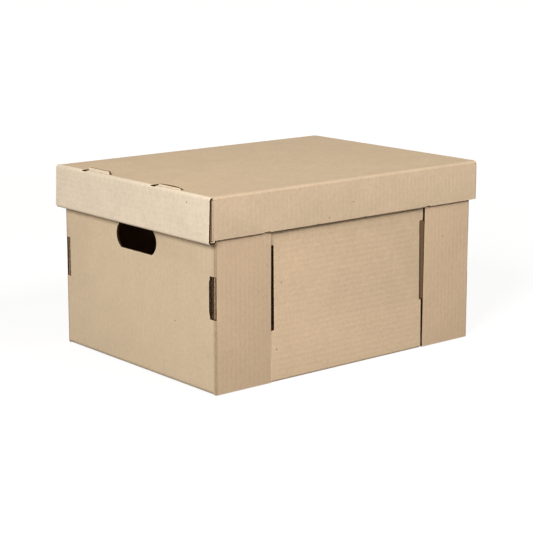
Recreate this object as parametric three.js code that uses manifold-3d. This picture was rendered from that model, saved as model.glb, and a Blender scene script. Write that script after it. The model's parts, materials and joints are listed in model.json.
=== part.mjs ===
// A flat-packed storage box of corrugated board, with a lift-off lid.
// Two die-cut sheets make it, the body and the lid, each folded and locked with its own tabs.
// Every mesh is one panel of a sheet, cut at its creases, with the crease on one of the two.
// Millimetres. +Z is up, +X runs along the box, and the origin is the middle of its base.
// The left end is at -X and the front at -Y. The body's other panels are those drawn, turned
// half a turn about Z, and the lid's back is its front mirrored. The lid's left end is folded
// double with a hem and locks in the lid's slots, and its right end is one plain ply, glued
// to its corner flaps.

import * as THREE from 'three';
import { mergeVertices } from 'three/addons/utils/BufferGeometryUtils.js';
import Module from 'manifold-3d';

const wasm = await Module();
wasm.setup();

// Board
const board = 3; // one ply
const fold_inside = 0.6; // radius inside a crease
const fold_outside = fold_inside + board;
const fold_steps = 6; // facets in a quarter turn
const crease_flat = 0.5; // flat board kept past a crease
const crushed_board = 1.5; // a locking tab, squeezed between two plies
const ply_gap = 0.3; // between plies that lie face to face
const crease_gap = 0.3; // between panels that meet at a crease
const cut_overrun = 5; // how far a cutter reaches past what it cuts
const same_point = 1e-6; // points closer than this are one

// Body
const body_length = 400;
const body_width = 300;
const wall_height = 221;
const side_lean = 3; // the long sides lean in by this at the rim
const wing_lift = 0.5; // the wings stop short of the floor
const left_wing_reach = 79.1; // from the box's corner to the wing's free edge
const right_wing_reach = 77.6;
const wing_taper = 1.4; // the right wing is wider by this at its foot
const tight_seam = 0.3; // between the left wing and the long side
const open_seam = 1.5; // between the right wing and the long side
const seam_step = 1.8; // the long side is narrower by this below its notch

// Locks of the body: two notches with tabs in each long side, and two slots in each end
const lock_height = 110; // middle of the notches and of the slots
const notch_height = 98.5;
const left_notch_depth = 5.2;
const right_notch_depth = 5.8;
const notch_radius = 1.6;
const tab_play = 0.8; // above and below a tab in its notch
const tab_reach = 26; // a tab's length behind the long side
const tab_radius = 6;
const ear_play = 2.7; // the lining's ears stand this far behind the wings
const ear_slot_height = 49;
const ear_slot_reach = 10.6; // from the box's corner
const ear_slot_relief = 1.4; // the eased middle of a slot goes this much deeper
const relief_height = 34;
const relief_ramp = 4;
const slot_wrap_angle = 55; // how far a slot runs round the corner's crease, in degrees
const ear_side_play = 0.6; // above and below an ear in its slot
const near_ear_setback = 1.6; // an ear's end behind the face of the end wall
const far_ear_setback = 0.1;
const bow_steps = 6; // facets in the bowed ends of a lining

// Hand hole of an end wall
const handle_width = 80; // over its round ends
const handle_flat = 61; // the straight top and bottom
const handle_height = 31;
const handle_drop = 1.2; // from the lid's hem down to the hole
const handle_steps = 14;

// Lid
const end_play = 0.5; // between the box's end wall and the lid's lining
const side_play = 0.4; // between the box's long side and the lid's skirt
const rest_gap = 0.3; // between the box's rim and the lid
const end_skirt_depth = 52.4;
const end_splay = 1.9; // the left end's skirt stands out by this at the hem
const plain_end_width = 294; // the right end's skirt stops short of the corners' folds
const flap_reach = 95; // a corner flap's length behind the end skirt
const flap_slope = 6; // the flap's free edge is this much shorter at its foot
const lid_slot_spacing = 141; // between the middles of the two slots
const lid_slot_shift = 2.2; // both slots lie this far towards the back
const lid_slot_length = 52;
const lid_slot_end_depth = 8.5; // the slot's width at its ends
const lid_slot_bulge = 5.5; // what its curved side adds in the middle
const lid_slot_steps = 12;
const lid_slot_radius = 1.2;
const lid_tab_length = 43.5;
const lid_tab_shift = 3.2; // the tabs lie this far towards the front in their slots
const front_tab_proud = 2.2; // the front tab's edge above the lid
const back_tab_proud = 3.2;
const lid_tab_radius = 5;

// Faces of the body
const end_face = body_length / 2;
const side_face = body_width / 2;
const fold_reach = fold_outside + crease_flat;
const bottom_half_length = end_face - fold_reach - crease_gap;
const bottom_half_width = side_face - fold_reach - crease_gap;

// Plies of a long side, counted inwards from its outside
const tab_height = notch_height - 2 * tab_play;
const tab_top = lock_height + tab_height / 2;
const leanAt = (height) => (side_lean * height) / wall_height;
const tab_offset = board + leanAt(tab_top) + ply_gap;
const tab_pack = tab_offset + crushed_board + ply_gap; // the lining clears the tabs
const rim_pack = side_lean + 2 * fold_outside + crease_flat - board; // and has room to turn
const lining_offset = Math.max(tab_pack, rim_pack);
const ear_offset = board + ear_play;

// Edges in a long side, seen from the front
const left_seam = -end_face + left_wing_reach;
const right_seam = end_face - right_wing_reach;
const side_left = left_seam + tight_seam;
const side_right = right_seam - open_seam;
const notch_left = side_left + left_notch_depth;
const notch_right = side_right - right_notch_depth;
const notch_foot = lock_height - notch_height / 2;
const notch_top = lock_height + notch_height / 2;

// Plies of the lid's left end, counted outwards from the box
const lid_lining_face = end_face + end_play;
const lid_flap_inner = lid_lining_face + board + ply_gap;
const lid_flap_face = lid_flap_inner + board;
const lid_end_face = lid_flap_face + ply_gap + board;
const lid_side_face = side_face + side_play + board;
const lid_underside = wall_height + rest_gap;
const lid_height = lid_underside + board;
const hem_height = lid_height - end_skirt_depth;
const side_skirt_foot = hem_height + fold_reach + crease_gap;
const handle_top = hem_height - handle_drop;
const lid_top_left = -lid_end_face + fold_reach + crease_gap;
const lid_top_half_width = lid_side_face - fold_reach - crease_gap;
const lid_lining_half_width = lid_side_face - fold_outside;
const splayAt = (height) => (end_splay * (lid_height - height)) / end_skirt_depth;

// The lid's plain end reaches as far as the hem does, with its flaps behind one ply
const plain_end_face = lid_end_face + splayAt(hem_height + fold_outside);
const plain_flap_face = plain_end_face - board - ply_gap;
const lid_top_right = plain_end_face - fold_reach - crease_gap;

const radians = THREE.MathUtils.degToRad;
const vector = ([x, y]) => new THREE.Vector2(x, y);

// Points with their corners rounded. A point is [x, y] or [x, y, radius].
function rounded(points, closed) {
  const result = [];
  const add = (point) => {
    const last = result[result.length - 1];
    if (!last || last.distanceTo(point) > same_point) result.push(point);
  };
  points.forEach((point, index) => {
    const corner = vector(point);
    const radius = point[2] || 0;
    const isEnd = !closed && (index === 0 || index === points.length - 1);
    if (radius === 0 || isEnd) {
      add(corner);
      return;
    }
    const before = vector(points[(index + points.length - 1) % points.length]);
    const after = vector(points[(index + 1) % points.length]);
    const arriving = corner.clone().sub(before).normalize();
    const leaving = after.clone().sub(corner).normalize();
    const turn = Math.atan2(arriving.cross(leaving), arriving.dot(leaving));
    const tangent = radius * Math.tan(Math.abs(turn) / 2);
    const side = Math.sign(turn);
    const start = corner.clone().addScaledVector(arriving, -tangent);
    const toCentre = new THREE.Vector2(-arriving.y, arriving.x).multiplyScalar(side * radius);
    const centre = start.clone().add(toCentre);
    for (let step = 0; step <= fold_steps; step += 1) {
      add(start.clone().rotateAround(centre, (turn * step) / fold_steps));
    }
  });
  return result;
}

// The section of a strip of board: its outer face runs through the points, and its
// thickness lies on the right of that run.
function boardSection(points, thickness) {
  const inner = points.map((point, index) => {
    const before = points[Math.max(index - 1, 0)];
    const after = points[Math.min(index + 1, points.length - 1)];
    const arriving = point.clone().sub(before).normalize();
    const leaving = after.clone().sub(point).normalize();
    const along = arriving.clone().add(leaving).normalize();
    const reference = index === 0 ? leaving : arriving;
    const mitre = thickness / along.dot(reference);
    return point.clone().add(new THREE.Vector2(along.y, -along.x).multiplyScalar(mitre));
  });
  return new THREE.Shape([...points, ...inner.reverse()]);
}

const foldedBoard = (points) => boardSection(rounded(points, false), board);
const outline = (points) => new THREE.Shape(rounded(points, true));

function rectangle(x0, y0, x1, y1) {
  return outline([[x0, y0], [x1, y0], [x1, y1], [x0, y1]]);
}

function solidOf(geometry) {
  geometry.deleteAttribute('normal');
  geometry.deleteAttribute('uv');
  const merged = mergeVertices(geometry);
  const vertProperties = new Float32Array(merged.attributes.position.array);
  const triVerts = new Uint32Array(merged.index.array);
  return new wasm.Manifold(new wasm.Mesh({ numProp: 3, vertProperties, triVerts }));
}

// A drawing pulled along an axis. Across X it holds (y, z), across Y (x, z), across Z (x, y).
function pull(shape, axis, from, to) {
  const geometry = new THREE.ExtrudeGeometry(shape, { depth: to - from, bevelEnabled: false });
  const [x, y, z] = [0, 1, 2].map((index) => new THREE.Vector3().setComponent(index, 1));
  if (axis === 'x') {
    geometry.translate(0, 0, from);
    geometry.applyMatrix4(new THREE.Matrix4().makeBasis(y, z, x));
  } else if (axis === 'y') {
    geometry.translate(0, 0, -to);
    geometry.applyMatrix4(new THREE.Matrix4().makeBasis(x, z, y.negate()));
  } else {
    geometry.translate(0, 0, from);
  }
  return solidOf(geometry);
}

// A panel of folded board: a section pulled along its crease, trimmed to a flat outline.
function panel(section, crease, outlineShape, through) {
  const reach = {
    x: lid_end_face + end_splay,
    y: lid_side_face,
    z: lid_height,
  };
  const lowest = (axis) => (axis === 'z' ? 0 : -reach[axis]);
  const bent = pull(section, crease, lowest(crease), reach[crease]);
  const trim = pull(outlineShape, through, lowest(through) - cut_overrun, reach[through] + cut_overrun);
  return bent.intersect(trim);
}

// Body: the bottom, and the two ends with their hand holes and corner slots

function bottomPanel() {
  const plan = rectangle(
    -bottom_half_length, -bottom_half_width, bottom_half_length, bottom_half_width,
  );
  return pull(plan, 'z', 0, board);
}

function handHole() {
  const half = handle_height / 2;
  const middle = handle_top - half;
  const sagitta = (handle_width - handle_flat) / 2;
  const radius = (half * half + sagitta * sagitta) / (2 * sagitta);
  const centre = handle_width / 2 - radius;
  const spread = Math.asin(half / radius);
  const points = [];
  for (const side of [1, -1]) {
    for (let step = 0; step <= handle_steps; step += 1) {
      const angle = spread * ((2 * step) / handle_steps - 1);
      points.push([side * (centre + radius * Math.cos(angle)), middle + side * radius * Math.sin(angle)]);
    }
  }
  return points;
}

// The opening of a corner slot in an end wall, as (distance from the corner, height)
function earSlot(relief) {
  const foot = lock_height - ear_slot_height / 2;
  const top = lock_height + ear_slot_height / 2;
  const reliefFoot = lock_height - relief_height / 2;
  const reliefTop = lock_height + relief_height / 2;
  return [
    [0, foot],
    [ear_slot_reach, foot],
    [ear_slot_reach, reliefFoot - relief_ramp],
    [ear_slot_reach + relief, reliefFoot],
    [ear_slot_reach + relief, reliefTop],
    [ear_slot_reach, reliefTop + relief_ramp],
    [ear_slot_reach, top],
    [0, top],
  ];
}

function leftEndWall() {
  const section = foldedBoard([
    [-end_face + fold_reach, 0],
    [-end_face, 0, fold_outside],
    [-end_face, wall_height],
  ]);
  const edge = bottom_half_width;
  let wall = panel(section, 'y', rectangle(-edge, 0, edge, wall_height), 'x');
  const nearSlot = earSlot(ear_slot_relief).map(([x, z]) => [x - side_face, z]);
  const farSlot = earSlot(0).map(([x, z]) => [side_face - x, z]);
  for (const hole of [handHole(), nearSlot, farSlot]) {
    wall = wall.subtract(pull(outline(hole), 'x', -end_face - cut_overrun, -end_face + board + cut_overrun));
  }
  return wall;
}

// Body: the wings, which turn the corners from the ends onto the long sides

// Takes the corner slot out of a wing's crease, up to a cut square to the folded board
function cutCreaseSlot(wing, side) {
  const centre = [end_face - fold_outside, side_face - fold_outside];
  const angle = radians(slot_wrap_angle);
  const cutLength = fold_outside + cut_overrun;
  const wedge = [
    centre,
    [centre[0] + cutLength * Math.cos(angle), centre[1] + cutLength * Math.sin(angle)],
    [end_face + cut_overrun + cutLength, side_face],
    [end_face + cut_overrun + cutLength, centre[1] - cut_overrun],
    [centre[0], centre[1] - cut_overrun],
  ].map(([x, y]) => [side * x, -y]);
  const foot = lock_height - ear_slot_height / 2;
  return wing.subtract(pull(outline(wedge), 'z', foot, foot + ear_slot_height));
}

function leftWing() {
  const section = foldedBoard([
    [left_seam, -side_face],
    [-end_face, -side_face, fold_outside],
    [-end_face, -side_face + fold_reach],
  ]);
  const shape = rectangle(-end_face, wing_lift, left_seam, wall_height);
  return cutCreaseSlot(panel(section, 'z', shape, 'y'), -1);
}

function rightWing() {
  const section = foldedBoard([
    [end_face, -side_face + fold_reach],
    [end_face, -side_face, fold_outside],
    [right_seam - wing_taper, -side_face],
  ]);
  const shape = outline([
    [right_seam - wing_taper, wing_lift],
    [end_face, wing_lift],
    [end_face, wall_height],
    [right_seam, wall_height],
  ]);
  return cutCreaseSlot(panel(section, 'z', shape, 'y'), 1);
}

// A wing's tab dives from the wing through the notch and lies behind the long side.
// edge is the free edge of the wing, notch the edge of the notch, and side is +1 where
// the tab points to +X.
function lockingTab(edge, notch, side) {
  const root = edge + side * crease_gap;
  const rampEnd = notch - side * ply_gap;
  const tip = notch + side * tab_reach;
  const shallow = -side_face + board - crushed_board;
  const deep = -side_face + tab_offset;
  const slope = (deep - shallow) / (rampEnd - root);
  const beyond = root - side * cut_overrun;
  const points = [
    [beyond, shallow + slope * (beyond - root)],
    [rampEnd, deep],
    [tip, deep],
  ];
  const travel = side > 0 ? points.reverse() : points;
  const section = boardSection(rounded(travel, false), crushed_board);
  const foot = tab_top - tab_height;
  const shape = outline([
    [root, foot],
    [tip, foot, tab_radius],
    [tip, tab_top, tab_radius],
    [root, tab_top],
  ]);
  return panel(section, 'z', shape, 'y');
}

// Body: the long sides, folded over at the rim into a lining inside the box

function frontPanel() {
  const section = foldedBoard([
    [-side_face + fold_reach, 0],
    [-side_face, 0, fold_outside],
    [-side_face + side_lean, wall_height],
  ]);
  const top = wall_height - fold_reach - crease_gap;
  const shape = outline([
    [side_left, 0],
    [side_right - seam_step, 0],
    [side_right - seam_step, notch_foot],
    [notch_right, notch_foot, notch_radius],
    [notch_right, notch_top, notch_radius],
    [side_right, notch_top, notch_radius],
    [side_right, top],
    [side_left, top],
    [side_left, notch_top],
    [notch_left, notch_top, notch_radius],
    [notch_left, notch_foot, notch_radius],
    [side_left, notch_foot],
  ]);
  return panel(section, 'x', shape, 'y');
}

function frontRimFold() {
  const outer = -side_face + side_lean;
  const inner = -side_face + lining_offset + board;
  const foot = wall_height - fold_reach;
  const section = foldedBoard([
    [outer, foot],
    [outer, wall_height, fold_outside],
    [inner, wall_height, fold_outside],
    [inner, foot],
  ]);
  return pull(section, 'x', side_left, side_right);
}

// The lining is flat behind the long side. Past the wings' free edges it bows out, so its
// ears, which lock in the slots of the end walls, lie close behind the wings.
function liningFace() {
  const end = end_face - board - ply_gap;
  const points = [];
  for (const [side, seam] of [[1, right_seam], [-1, -left_seam]]) {
    const half = [];
    for (let step = 0; step <= bow_steps; step += 1) {
      const share = step / bow_steps;
      const offset = lining_offset + (ear_offset - lining_offset) * share * share;
      half.push(new THREE.Vector2(side * (seam + (end - seam) * share), -side_face + offset));
    }
    points.push(...(side > 0 ? half.reverse() : half));
  }
  return points;
}

function frontLining() {
  const face = liningFace();
  const foot = board + ply_gap;
  const top = wall_height - fold_reach - crease_gap;
  let lining = pull(boardSection(face, board), 'z', foot, top);
  const earFoot = lock_height - ear_slot_height / 2 + ear_side_play;
  const earTop = lock_height + ear_slot_height / 2 - ear_side_play;
  const earFace = -side_face + ear_offset;
  const root = end_face - board - ply_gap - crease_flat;
  for (const [side, setback] of [[-1, near_ear_setback], [1, far_ear_setback]]) {
    const reach = [side * root, side * (end_face - setback)].sort((a, b) => a - b);
    const ear = rectangle(reach[0], earFace, reach[1], earFace + board);
    lining = lining.add(pull(ear, 'z', earFoot, earTop));
  }
  return lining;
}

// Lid: the top, with two slots at its left end for the tabs of the lining

// The slot's straight side lies against the tab's outer face, and its curved side bulges
// towards the middle of the lid.
function lidSlot(middle) {
  const straight = lid_flap_inner;
  const half = lid_slot_length / 2;
  const points = [
    [-straight, middle + half, lid_slot_radius],
    [-straight, middle - half, lid_slot_radius],
  ];
  for (let step = 0; step <= lid_slot_steps; step += 1) {
    const share = (2 * step) / lid_slot_steps - 1;
    const depth = lid_slot_end_depth + lid_slot_bulge * (1 - share * share);
    points.push([-straight + depth, middle + half * share]);
  }
  return outline(points);
}

function lidTop() {
  let top = pull(
    rectangle(lid_top_left, -lid_top_half_width, lid_top_right, lid_top_half_width),
    'z', lid_underside, lid_height,
  );
  for (const side of [-1, 1]) {
    const middle = (side * lid_slot_spacing) / 2 + lid_slot_shift;
    const slot = pull(lidSlot(middle), 'z', lid_underside - cut_overrun, lid_height + cut_overrun);
    top = top.subtract(slot);
  }
  return top;
}

// Lid: the long skirts, whose ends turn the corner into flaps behind the end skirts

function lidFrontSkirt() {
  const section = foldedBoard([
    [-lid_side_face, side_skirt_foot],
    [-lid_side_face, lid_height, fold_outside],
    [-lid_side_face + fold_reach, lid_height],
  ]);
  const left = -lid_flap_face + fold_reach + crease_gap;
  const right = plain_flap_face - fold_reach - crease_gap;
  const shoulder = lid_height - fold_outside;
  const shape = outline([
    [left, side_skirt_foot],
    [right, side_skirt_foot],
    [right, shoulder],
    [lid_top_right, shoulder],
    [lid_top_right, lid_height],
    [lid_top_left, lid_height],
    [lid_top_left, shoulder],
    [left, shoulder],
  ]);
  return panel(section, 'x', shape, 'y');
}

// The corner flap at the left end of the front skirt, or at its right end for side +1. face
// is how far its outer face stands from the middle of the box.
function lidFlap(side, face) {
  const tip = -lid_side_face + flap_reach;
  const corner = [
    [side * (face - fold_reach), -lid_side_face],
    [side * face, -lid_side_face, fold_outside],
    [side * face, tip],
  ];
  const section = foldedBoard(side < 0 ? corner : corner.reverse());
  const shape = outline([
    [-lid_side_face, side_skirt_foot],
    [tip - flap_slope, side_skirt_foot, tab_radius],
    [tip, lid_height - fold_outside - crease_gap, tab_radius],
    [-lid_side_face, lid_height - fold_outside - crease_gap],
  ]);
  return panel(section, 'z', shape, 'x');
}

// Lid: the left end, folded at a hem into a lining whose tabs lock in the lid's slots

function lidLeftSkirt() {
  const foot = side_skirt_foot;
  const section = foldedBoard([
    [-lid_end_face - splayAt(foot), foot],
    [-lid_end_face, lid_height, fold_outside],
    [-lid_end_face + fold_reach, lid_height],
  ]);
  return pull(section, 'y', -lid_side_face, lid_side_face);
}

function lidLeftHem() {
  const top = hem_height + fold_reach;
  const section = foldedBoard([
    [-lid_lining_face, top],
    [-lid_lining_face, hem_height, fold_outside],
    [-lid_end_face - end_splay, hem_height, fold_outside],
    [-lid_end_face - splayAt(top), top],
  ]);
  return pull(section, 'y', -lid_side_face, lid_side_face);
}

function lidLeftLining() {
  const shoulder = lid_underside - ply_gap;
  const half = lid_lining_half_width;
  const points = [[-half, side_skirt_foot], [half, side_skirt_foot], [half, shoulder]];
  for (const [side, proud] of [[1, back_tab_proud], [-1, front_tab_proud]]) {
    const middle = (side * lid_slot_spacing) / 2 + lid_slot_shift - lid_tab_shift;
    points.push([middle + lid_tab_length / 2, shoulder]);
    points.push([middle + lid_tab_length / 2, lid_height + proud, lid_tab_radius]);
    points.push([middle - lid_tab_length / 2, lid_height + proud, lid_tab_radius]);
    points.push([middle - lid_tab_length / 2, shoulder]);
  }
  points.push([-half, shoulder]);
  return pull(outline(points), 'x', -lid_lining_face - board, -lid_lining_face);
}

// Lid: the right end, one ply outside its corner flaps

function lidRightSkirt() {
  const section = foldedBoard([
    [plain_end_face - fold_reach, lid_height],
    [plain_end_face, lid_height, fold_outside],
    [plain_end_face, side_skirt_foot],
  ]);
  return pull(section, 'y', -plain_end_width / 2, plain_end_width / 2);
}

// Assembly

const body_board = new THREE.Color('#ccb394');
const lid_board = new THREE.Color('#d3b99a');
const body = new THREE.Group();
const lid = new THREE.Group();

function meshOf(name, solid, color) {
  const { vertProperties, triVerts } = solid.getMesh();
  const geometry = new THREE.BufferGeometry();
  geometry.setAttribute('position', new THREE.BufferAttribute(vertProperties, 3));
  geometry.setIndex(new THREE.BufferAttribute(triVerts, 1));
  geometry.computeVertexNormals();
  const finish = { color, roughness: 0.92, metalness: 0, flatShading: true };
  const mesh = new THREE.Mesh(geometry, new THREE.MeshStandardMaterial(finish));
  mesh.name = name;
  return mesh;
}

// A panel of the body, and the same panel turned half a turn about Z
function addPair(name, turnedName, solid) {
  const turned = meshOf(turnedName, solid, body_board);
  turned.rotation.z = Math.PI;
  body.add(meshOf(name, solid, body_board), turned);
}

// A panel of the lid's front, and its mirror image at the back
function addMirrored(name, mirroredName, solid) {
  const mirrored = meshOf(mirroredName, solid.mirror([0, 1, 0]), lid_board);
  lid.add(meshOf(name, solid, lid_board), mirrored);
}

const leftTab = lockingTab(left_seam, notch_left, 1);
const rightTab = lockingTab(right_seam - wing_taper, notch_right, -1);
body.add(meshOf('bottom_panel', bottomPanel(), body_board));
addPair('left_end_wall', 'right_end_wall', leftEndWall());
addPair('front_panel', 'back_panel', frontPanel());
addPair('front_rim_fold', 'back_rim_fold', frontRimFold());
addPair('front_lining', 'back_lining', frontLining());
addPair('front_left_wing', 'back_right_wing', leftWing());
addPair('front_right_wing', 'back_left_wing', rightWing());
addPair('front_left_tab', 'back_right_tab', leftTab);
addPair('front_right_tab', 'back_left_tab', rightTab);

lid.add(meshOf('lid_top', lidTop(), lid_board));
addMirrored('lid_front_skirt', 'lid_back_skirt', lidFrontSkirt());
addMirrored('lid_front_left_flap', 'lid_back_left_flap', lidFlap(-1, lid_flap_face));
addMirrored('lid_front_right_flap', 'lid_back_right_flap', lidFlap(1, plain_flap_face));
lid.add(meshOf('lid_left_skirt', lidLeftSkirt(), lid_board));
lid.add(meshOf('lid_left_hem', lidLeftHem(), lid_board));
lid.add(meshOf('lid_left_lining', lidLeftLining(), lid_board));
lid.add(meshOf('lid_right_skirt', lidRightSkirt(), lid_board));

const storageBox = new THREE.Group();
storageBox.add(body, lid);

export default storageBox;
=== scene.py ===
"""The looks of a folded corrugated board box with a lift-off lid.

Every panel of the CAD frame is rebuilt as real board: two paper liners and the fluting between
them, cut flat to the panel's outline and then folded along its section. Sizes are millimetres in
flat or folded board, and a mesh is scaled to metres when it is made.
"""

import json
import math

import bmesh
import bpy
import numpy as np
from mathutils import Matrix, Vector

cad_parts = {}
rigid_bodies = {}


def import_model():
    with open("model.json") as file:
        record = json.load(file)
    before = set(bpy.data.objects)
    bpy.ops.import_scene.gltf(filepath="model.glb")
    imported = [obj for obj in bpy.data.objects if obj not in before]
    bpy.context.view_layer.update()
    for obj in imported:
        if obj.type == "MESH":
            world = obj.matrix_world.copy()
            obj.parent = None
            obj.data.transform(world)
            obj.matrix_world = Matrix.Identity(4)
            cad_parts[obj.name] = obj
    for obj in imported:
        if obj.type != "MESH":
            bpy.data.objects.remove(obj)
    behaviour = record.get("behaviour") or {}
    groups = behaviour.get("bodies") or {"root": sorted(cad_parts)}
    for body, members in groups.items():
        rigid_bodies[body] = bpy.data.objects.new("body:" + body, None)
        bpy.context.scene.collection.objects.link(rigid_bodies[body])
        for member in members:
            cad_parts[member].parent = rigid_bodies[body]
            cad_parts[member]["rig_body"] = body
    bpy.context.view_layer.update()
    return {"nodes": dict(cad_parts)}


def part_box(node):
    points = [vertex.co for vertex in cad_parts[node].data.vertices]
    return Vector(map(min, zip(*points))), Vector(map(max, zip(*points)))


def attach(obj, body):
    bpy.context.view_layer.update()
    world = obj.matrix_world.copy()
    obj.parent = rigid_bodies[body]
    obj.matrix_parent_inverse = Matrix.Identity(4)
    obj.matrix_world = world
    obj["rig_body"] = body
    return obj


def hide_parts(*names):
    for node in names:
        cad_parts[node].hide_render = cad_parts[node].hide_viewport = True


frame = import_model()

# Board
METRE = 1000
LINER = 0.35
MEDIUM = 0.3  # the fluting's paper
FLUTE_PITCH = 6.5
FLUTE_SAMPLES = 10
FLUTE_SINK_SHARE = 0.3  # of a liner, where the flutes' crests sink into it
FOLD_INSIDE = 0.6  # radius inside a crease
CREASE_FLAT = 0.5  # flat board kept past a crease
CREASE_FADE = 3.0  # how far a crease's wear reaches
FOLD_STEPS = 8
CREASE_GAP = 0.3  # between panels that meet at a crease
PLY_GAP = 0.3
CRUSHED_BOARD = 1.5  # a locking tab, squeezed between two plies
EDGE_CRUSH_WIDTH = 1.2
EDGE_CRUSH_DEPTH = 0.25
SCORED_RADIUS = 1.8  # outside a scored crease
SCORED_BOARD = 2.5
SCORE_FADE = 1.5
SHARP_ANGLE = math.radians(30)
OVERRUN = 6  # of an uncut sheet past the joint that it is trimmed to
HOLE_OVERRUN = 3  # of a hole past that joint, inside the uncut sheet
SAME_POINT = 1e-6
LEAST_STEP = 0.05

# Details of the cutting that a node's box doesn't give. Most are the CAD source's. Those of the
# slots, the seam's step, the tabs' roots, the ears' setbacks, the lid's tabs and the skirts'
# nicks follow the photo a little more closely than the solids do.
WING_TAPER = 1.4
SEAM_STEP = 2.7
NOTCH_RADIUS = 1.6
TAB_PLAY = 0.8
TAB_REACH = 26
TAB_RADIUS = 6
TAB_BEND = 1
LEFT_TAB_ROOT_DEPTH = 3.2
RIGHT_TAB_ROOT_DEPTH = 0.9
EAR_SLOT_HEIGHT = 49
NEAR_EAR_SLOT_REACH = 10.6
FAR_EAR_SLOT_REACH = 9.2
EAR_SLOT_RELIEF = 1.4
RELIEF_HEIGHT = 34
RELIEF_RAMP = 4
LEFT_SLOT_WRAP_SHARE = 0.85  # of the corner's fold that a slot runs round
RIGHT_SLOT_WRAP_SHARE = 0.3
EAR_SIDE_PLAY = 0.6
NEAR_EAR_SETBACK = 3
FAR_EAR_SETBACK = 0.1
BOW_STEPS = 12
HANDLE_WIDTH = 80
HANDLE_FLAT = 61
HANDLE_HEIGHT = 31
HANDLE_DROP = 1.2
HANDLE_STEPS = 20
FLAP_SLOPE = 6
LID_SLOT_SPACING = 141
LID_SLOT_SHIFT = 2.2
LID_SLOT_LENGTH = 52
LID_SLOT_FRONT_DEPTH = 4
LID_SLOT_BACK_DEPTH = 10.5
LID_SLOT_BULGE = 5
LID_SLOT_STEPS = 16
LID_SLOT_RADIUS = 1.2
LID_POCKET_LENGTH = 9
LID_TAB_LENGTH = 43.5
LID_TAB_SHIFT = 3.2
LID_TAB_RADIUS = 3
FRONT_TAB_PROUD = 1.6
BACK_TAB_PROUD = 3.7
SKIRT_NICKS = [  # first and last place along the skirt, and depth
    (-133, -124, 0.8),
    (-56, -52.5, 0.7),
    (19, 22, 0.6),
    (120, 128.5, 0.9),
]
NICK_RAMP = 0.8


def node_box(node):
    """A CAD node's lowest and highest corners, in millimetres."""
    low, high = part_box(node)
    return low * METRE, high * METRE


# Sizes of the body, from the frame
bottom = node_box("bottom_panel")
end_wall = node_box("left_end_wall")
side_panel = node_box("front_panel")
left_wing = node_box("front_left_wing")
right_wing = node_box("front_right_wing")
left_tab = node_box("front_left_tab")
right_tab = node_box("front_right_tab")
rim_fold = node_box("front_rim_fold")
lining = node_box("front_lining")
BOARD = bottom[1].z - bottom[0].z
FOLD_OUTSIDE = FOLD_INSIDE + BOARD
FOLD_REACH = FOLD_OUTSIDE + CREASE_FLAT
JOINT_REACH = FOLD_REACH + CREASE_GAP  # from a face, round its crease, to the next panel
END_FACE = -end_wall[0].x
SIDE_FACE = -side_panel[0].y
WALL_HEIGHT = end_wall[1].z
SIDE_LEAN = SIDE_FACE + rim_fold[0].y
BOTTOM_HALF_LENGTH = bottom[1].x
BOTTOM_HALF_WIDTH = bottom[1].y
LEFT_SEAM = left_wing[1].x
RIGHT_SEAM_FOOT = right_wing[0].x
RIGHT_SEAM = RIGHT_SEAM_FOOT + WING_TAPER
NOTCH_FOOT = left_tab[0].z - TAB_PLAY
NOTCH_TOP = left_tab[1].z + TAB_PLAY
NOTCH_LEFT = left_tab[1].x - TAB_REACH
NOTCH_RIGHT = right_tab[0].x + TAB_REACH
LOCK_HEIGHT = (NOTCH_FOOT + NOTCH_TOP) / 2
EAR_SLOT_FOOT = LOCK_HEIGHT - EAR_SLOT_HEIGHT / 2
EAR_SLOT_TOP = LOCK_HEIGHT + EAR_SLOT_HEIGHT / 2
RIGHT_TAB_ROOT = RIGHT_SEAM_FOOT + WING_TAPER * NOTCH_FOOT / WALL_HEIGHT
TAB_OFFSET = SIDE_FACE + left_tab[1].y - CRUSHED_BOARD
LINING_OFFSET = SIDE_FACE + lining[1].y - BOARD
EAR_OFFSET = SIDE_FACE + lining[0].y
RIM_JOINT = lining[1].z

# Sizes of the lid, from the frame
lid_top = node_box("lid_top")
side_skirt = node_box("lid_front_skirt")
hem = node_box("lid_left_hem")
end_lining = node_box("lid_left_lining")
plain_skirt = node_box("lid_right_skirt")
left_flap = node_box("lid_front_left_flap")
right_flap = node_box("lid_front_right_flap")
LID_UNDERSIDE = lid_top[0].z
LID_HEIGHT = lid_top[1].z
LID_TOP_LEFT = lid_top[0].x
LID_TOP_RIGHT = lid_top[1].x
LID_TOP_HALF_WIDTH = lid_top[1].y
LID_SIDE_FACE = -side_skirt[0].y
LID_END_FACE = -LID_TOP_LEFT + JOINT_REACH
LID_FLAP_FACE = -left_flap[0].x
LID_FLAP_INNER = LID_FLAP_FACE - BOARD
PLAIN_END_FACE = plain_skirt[1].x
PLAIN_FLAP_FACE = right_flap[1].x
LID_LINING_FACE = -end_lining[1].x
SIDE_SKIRT_FOOT = side_skirt[0].z
HEM_HEIGHT = hem[0].z
HANDLE_TOP = HEM_HEIGHT - HANDLE_DROP
END_SPLAY = -hem[0].x - LID_END_FACE


def splay_at(height):
    """How far the lid's left end leans out at a height."""
    return END_SPLAY * (LID_HEIGHT - height) / (LID_HEIGHT - HEM_HEIGHT)


# Drawings


def turned(point, centre, angle):
    """A point turned round a centre."""
    x, y = point[0] - centre[0], point[1] - centre[1]
    c, s = math.cos(angle), math.sin(angle)
    return np.array([centre[0] + c * x - s * y, centre[1] + s * x + c * y])


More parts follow.
